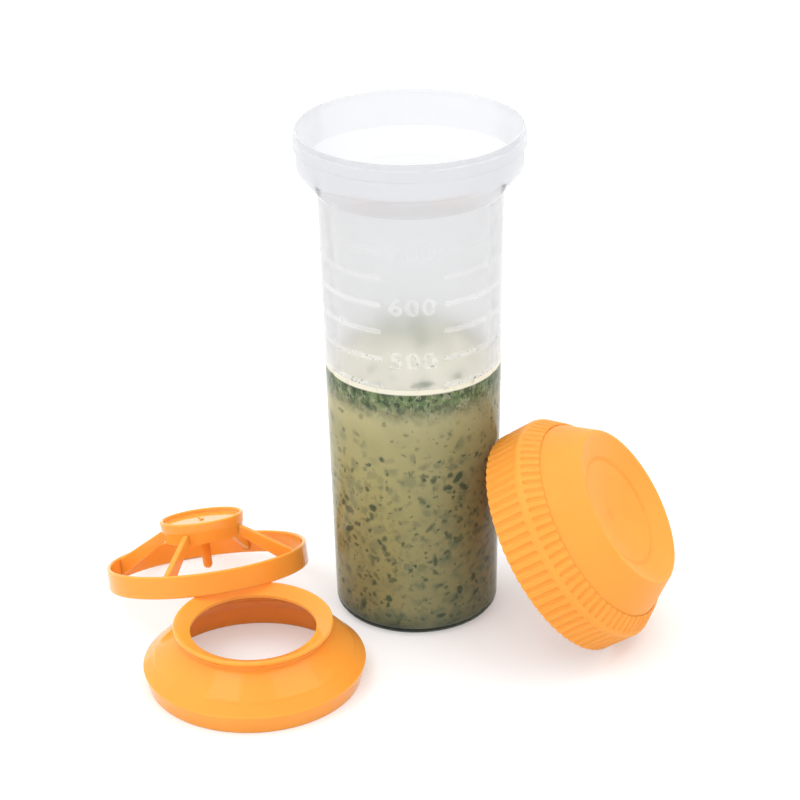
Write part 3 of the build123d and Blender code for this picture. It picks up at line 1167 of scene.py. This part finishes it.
@frozen
class Lid(Moulding):
    """Lid with two bands of round grip grooves, a dome and a dished top."""

    piece: Piece = Piece("lid_moulding", Body.LID, Slot.SATIN, "lid", sharp=62.0)
    place: Place = (59.496, -27.642, 41.506)
    turn: float = -16.37
    lean: float = 56.05
    phase: float = -0.35
    grooves: int = 72
    groove_radius: float = 1.14
    groove_depth: float = 0.85
    groove_end: float = 1.1
    open_radius: float = 50.2
    crease_radius: float = 50.4
    crease: float = 15.2
    upper_crease: float = 16.0
    step_radius: float = 45.0
    step: float = 23.7
    first_end: float = 14.36
    second_start: float = 1.49
    skin_depth: float = 0.6
    inner_reach: float = 40.0
    slack: float = 0.01

    # Extra rows of points where the grooves end: heights, and distances up the second band
    lower_rows: Row = (13.0, 13.45, 13.8, 14.05, 14.22, 14.36, 14.6)
    upper_rows: Row = (1.4, 1.55, 1.72, 2.1, 2.6, 4.5)

    # Where a sector's columns stand, as shares of the pitch
    columns: Row = (-0.5, -0.36, -0.265, -0.235, -0.185, -0.09, 0.0, 0.09, 0.185, 0.235, 0.265, 0.36, 0.5)

    def profile(self) -> Profile:
        """Draw the lid's section, with extra rows where the grooves end.

        Returns:
            The profile.
        """
        inside = corners(
            (0.0, 27.2, 0.0, 69.7), (34.25, 36.19, 0.6), (42.8, 22.4, 0.8), (48.0, 15.7, 1.0),
            (48.55, 7.0, 0.8), (47.9, 5.8, 0.6), (48.55, 4.6, 0.8), (48.55, 0.0, 0.3),
        )
        rise = self.step - self.upper_crease
        length = math.hypot(self.crease_radius - self.step_radius, rise)
        heights = [self.upper_crease + rise * (along / length) for along in self.upper_rows]
        bands = corners(
            (self.open_radius, 0.0, 0.35),
            *((self.band_radius(height), height) for height in self.lower_rows),
            (self.crease_radius, self.crease),
            (self.crease_radius, self.upper_crease, 1.2),
            *((self.band_radius(height), height) for height in heights),
            (self.step_radius, self.step, 0.15),
        )
        top = corners(
            (44.4, 23.7, 0.1), (44.25, 23.2), (43.95, 23.4), (43.38, 24.86), (34.9, 38.54, 1.5, 68.0),
            (25.2, 33.75, 0.3), (24.15, 32.55, 0.5), (23.1, 32.95, 0.3, 68.0), (1.3, 28.912), (1.1, 28.61),
            (0.0, 28.6),
        )
        return Profile(inside + bands + top)

    def band_radius(self, height: float) -> float:
        """Give the outer radius of the two grip bands at a height, without their grooves.

        Args:
            height: the height over the open edge.

        Returns:
            The radius.
        """
        if height <= self.crease:
            return self.open_radius + (self.crease_radius - self.open_radius) * height / self.crease
        if height <= self.upper_crease:
            return self.crease_radius
        share = (height - self.upper_crease) / (self.step - self.upper_crease)
        return self.crease_radius + (self.step_radius - self.crease_radius) * share

    def depth(self, across: float, past: float) -> float:
        """Give a groove's depth.

        Args:
            across: the distance from the groove's middle line.
            past: how far the point lies beyond the centre of the groove's round end.

        Returns:
            The depth, 0 outside the groove.
        """
        off = across**2 + max(0.0, past) ** 2
        if off >= self.groove_radius**2:
            return 0.0
        return max(0.0, math.sqrt(self.groove_radius**2 - off) - (self.groove_radius - self.groove_depth))

    def cut_groove(self, bm: Mesh) -> None:
        """Press one groove into both bands of a sector, column by column.

        Args:
            bm: the sector, from one land's middle to the next.
        """
        pitch = math.tau / self.grooves
        steps = len(self.columns) - 1
        slope = Vector((self.step - self.upper_crease, self.crease_radius - self.step_radius)).normalized()
        for vert in bm.verts:
            radius = math.hypot(vert.co.x, vert.co.y) / MM
            height = vert.co.z / MM
            if radius < self.inner_reach:
                continue
            column = self.columns[round(math.atan2(vert.co.y, vert.co.x) / pitch * steps)]
            angle = (column + 0.5) * pitch
            across = abs(column) * pitch * radius
            outer = radius > self.band_radius(max(height, 0.0)) - self.skin_depth
            if outer and height <= self.step + self.slack:
                if height < self.crease:
                    cut = self.depth(across, height - (self.first_end - self.groove_end))
                    radius = min(radius, self.band_radius(height) - cut)
                elif height > self.upper_crease:
                    along = (height - self.upper_crease) / slope.x
                    cut = self.depth(across, self.second_start + self.groove_end - along)
                    radius -= cut * slope.x
                    height -= cut * slope.y
            vert.co = Vector((radius * math.cos(angle), radius * math.sin(angle), height)) * MM

    def shape(self) -> Mesh:
        """Make one sector with its groove and repeat it all round.

        Returns:
            The mesh.
        """
        bm = self.profile().spin(len(self.columns) - 1, math.tau / self.grooves)
        self.cut_groove(bm)
        spin_about(bm, parts_of(bm), math.tau, self.grooves, use_duplicate=True)
        close(bm)
        return bm


# The studio


@frozen
class Softbox:
    """A rectangular lamp that faces down on the scene, with its turn and the brightness of its face."""

    name: str
    place: Place
    turn: float
    width: float
    depth: float
    brightness: float

    def build(self) -> None:
        """Hang the lamp."""
        lamp = bpy.data.lights.new(self.name, "AREA")
        lamp.shape = "RECTANGLE"
        lamp.size = self.width
        lamp.size_y = self.depth
        lamp.energy = self.brightness * math.pi * self.width * self.depth
        stand(self.name, lamp).matrix_world = Matrix.Translation(self.place) @ turned(self.turn, "Z")


@frozen
class Studio:
    """White floor, white surroundings, two softboxes and the photograph's camera."""

    floor_size: float = 8.0
    floor_drop: float = 0.00005
    floor_colour: float = 0.72
    floor_fleck: float = 0.004
    floor_lift: float = 0.3
    fill_left: float = 1.456
    fill_right: float = 1.144
    shine_right: float = 0.4
    eye: Place = (-0.005975, -0.973922, 0.564501)
    pitch: float = 25.65
    roll: float = -1.08
    lens: float = 113.217
    sensor: float = 36.0
    lamps: tuple[Softbox, ...] = (
        Softbox("left_softbox", (-0.54, -0.33, 1.2), -22.0, 0.56, 0.5, 1.6),
        Softbox("right_softbox", (0.58, -0.1, 1.2), 38.0, 0.95, 0.5, 1.2),
    )

    def floor(self) -> None:
        """Lay the floor, which keeps the object's shadow and shows white elsewhere."""
        bm = bmesh.new()
        bmesh.ops.create_grid(bm, x_segments=1, y_segments=1, size=self.floor_size / 2)
        bmesh.ops.translate(bm, vec=(0.0, 0.0, -self.floor_drop), verts=bm.verts)
        mesh = bpy.data.meshes.new("floor")
        bm.to_mesh(mesh)
        bm.free()
        canvas = Canvas("floor_paper")
        fibre = canvas.noise(canvas.place, 900.0, 3.0, 0.6)
        dark, light = self.floor_colour - self.floor_fleck, self.floor_colour + self.floor_fleck

        # Only camera rays, reflections and refractions see the lift
        path = canvas.add("LightPath").outputs
        bent = canvas.math("MAXIMUM", path["Is Glossy Ray"], path["Is Transmission Ray"])
        seen = canvas.math("MAXIMUM", path["Is Camera Ray"], bent)
        canvas.set(
            Base_Color=canvas.step(fibre, 0.3, 0.7, dark, light),
            Roughness=0.9,
            Specular_IOR_Level=0.0,
            Emission_Color=WHITE,
            Emission_Strength=canvas.math("MULTIPLY", seen, self.floor_lift),
        )
        mesh.materials.append(canvas.material)
        stand("floor", mesh)

    def world(self) -> None:
        """Make the surroundings: white where they are seen, a softer fill as light."""
        world = bpy.data.worlds.new("studio")
        bpy.context.scene.world = world
        world.use_nodes = True
        graph = Graph(world.node_tree)
        background = next(n for n in world.node_tree.nodes if n.type == "BACKGROUND")
        direction = graph.add("TexCoord").outputs["Generated"]
        across = graph.add("SeparateXYZ", inputs={0: direction}).outputs[0]
        soft = graph.step(across, -1.0, 1.0, self.fill_left, self.fill_right)
        shine = graph.step(across, -0.9, 0.9, 1.0, self.shine_right)
        path = graph.add("LightPath").outputs
        light = graph.blend(path["Is Glossy Ray"], soft, shine)
        plain = graph.math("MAXIMUM", path["Is Camera Ray"], path["Is Transmission Ray"])
        graph.feed(background.inputs["Color"], WHITE)
        graph.feed(background.inputs["Strength"], graph.blend(plain, light, 1.0))

    def camera(self) -> None:
        """Set up the camera of the photograph."""
        data = bpy.data.cameras.new("camera")
        data.lens = self.lens
        data.sensor_width = self.sensor
        data.clip_start = 0.01
        holder = stand("camera", data)
        turn = turned(90.0 - self.pitch, "X") @ turned(self.roll, "Z")
        holder.matrix_world = Matrix.Translation(self.eye) @ turn
        bpy.context.scene.camera = holder

    def build(self) -> None:
        """Set up the whole studio."""
        self.floor()
        self.world()
        for lamp in self.lamps:
            lamp.build()
        self.camera()
        bpy.context.scene.view_settings.view_transform = "Standard"


def report(pieces: list[Object]) -> None:
    """Log each piece with its count of faces."""
    for piece in pieces:
        log.info("%s: %d faces", piece.name, len(piece.data.polygons))


def main() -> None:
    """Build the studio, then the pieces in order."""
    logging.basicConfig(level=logging.INFO, format="%(message)s")
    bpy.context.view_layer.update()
    Studio().build()
    gloss = OrangePlastic(
        "orange_gloss", (0.98, 0.38, 0.058), (0.97, 0.365, 0.053), roughness=0.08, worn_roughness=0.13,
        grain=1400.0, grain_share=0.25, bump=0.04, specular=0.28, glow=0.7, glow_depth=0.003,
    )
    satin = OrangePlastic(
        "orange_satin", (0.96, 0.385, 0.056), (0.94, 0.37, 0.052), roughness=0.45, worn_roughness=0.5,
        grain=3200.0, grain_share=0.85, bump=0.3, specular=0.3, glow=0.5, glow_depth=0.0015,
    )
    polished = gloss.material()
    beaker = Beaker()
    report(beaker.build())
    report(Dressing().build(beaker))
    report(PourRing().build(polished))
    report(Mixer().build(polished))
    report(Lid().build(satin.material()))


if __name__ == "__main__":
    main()
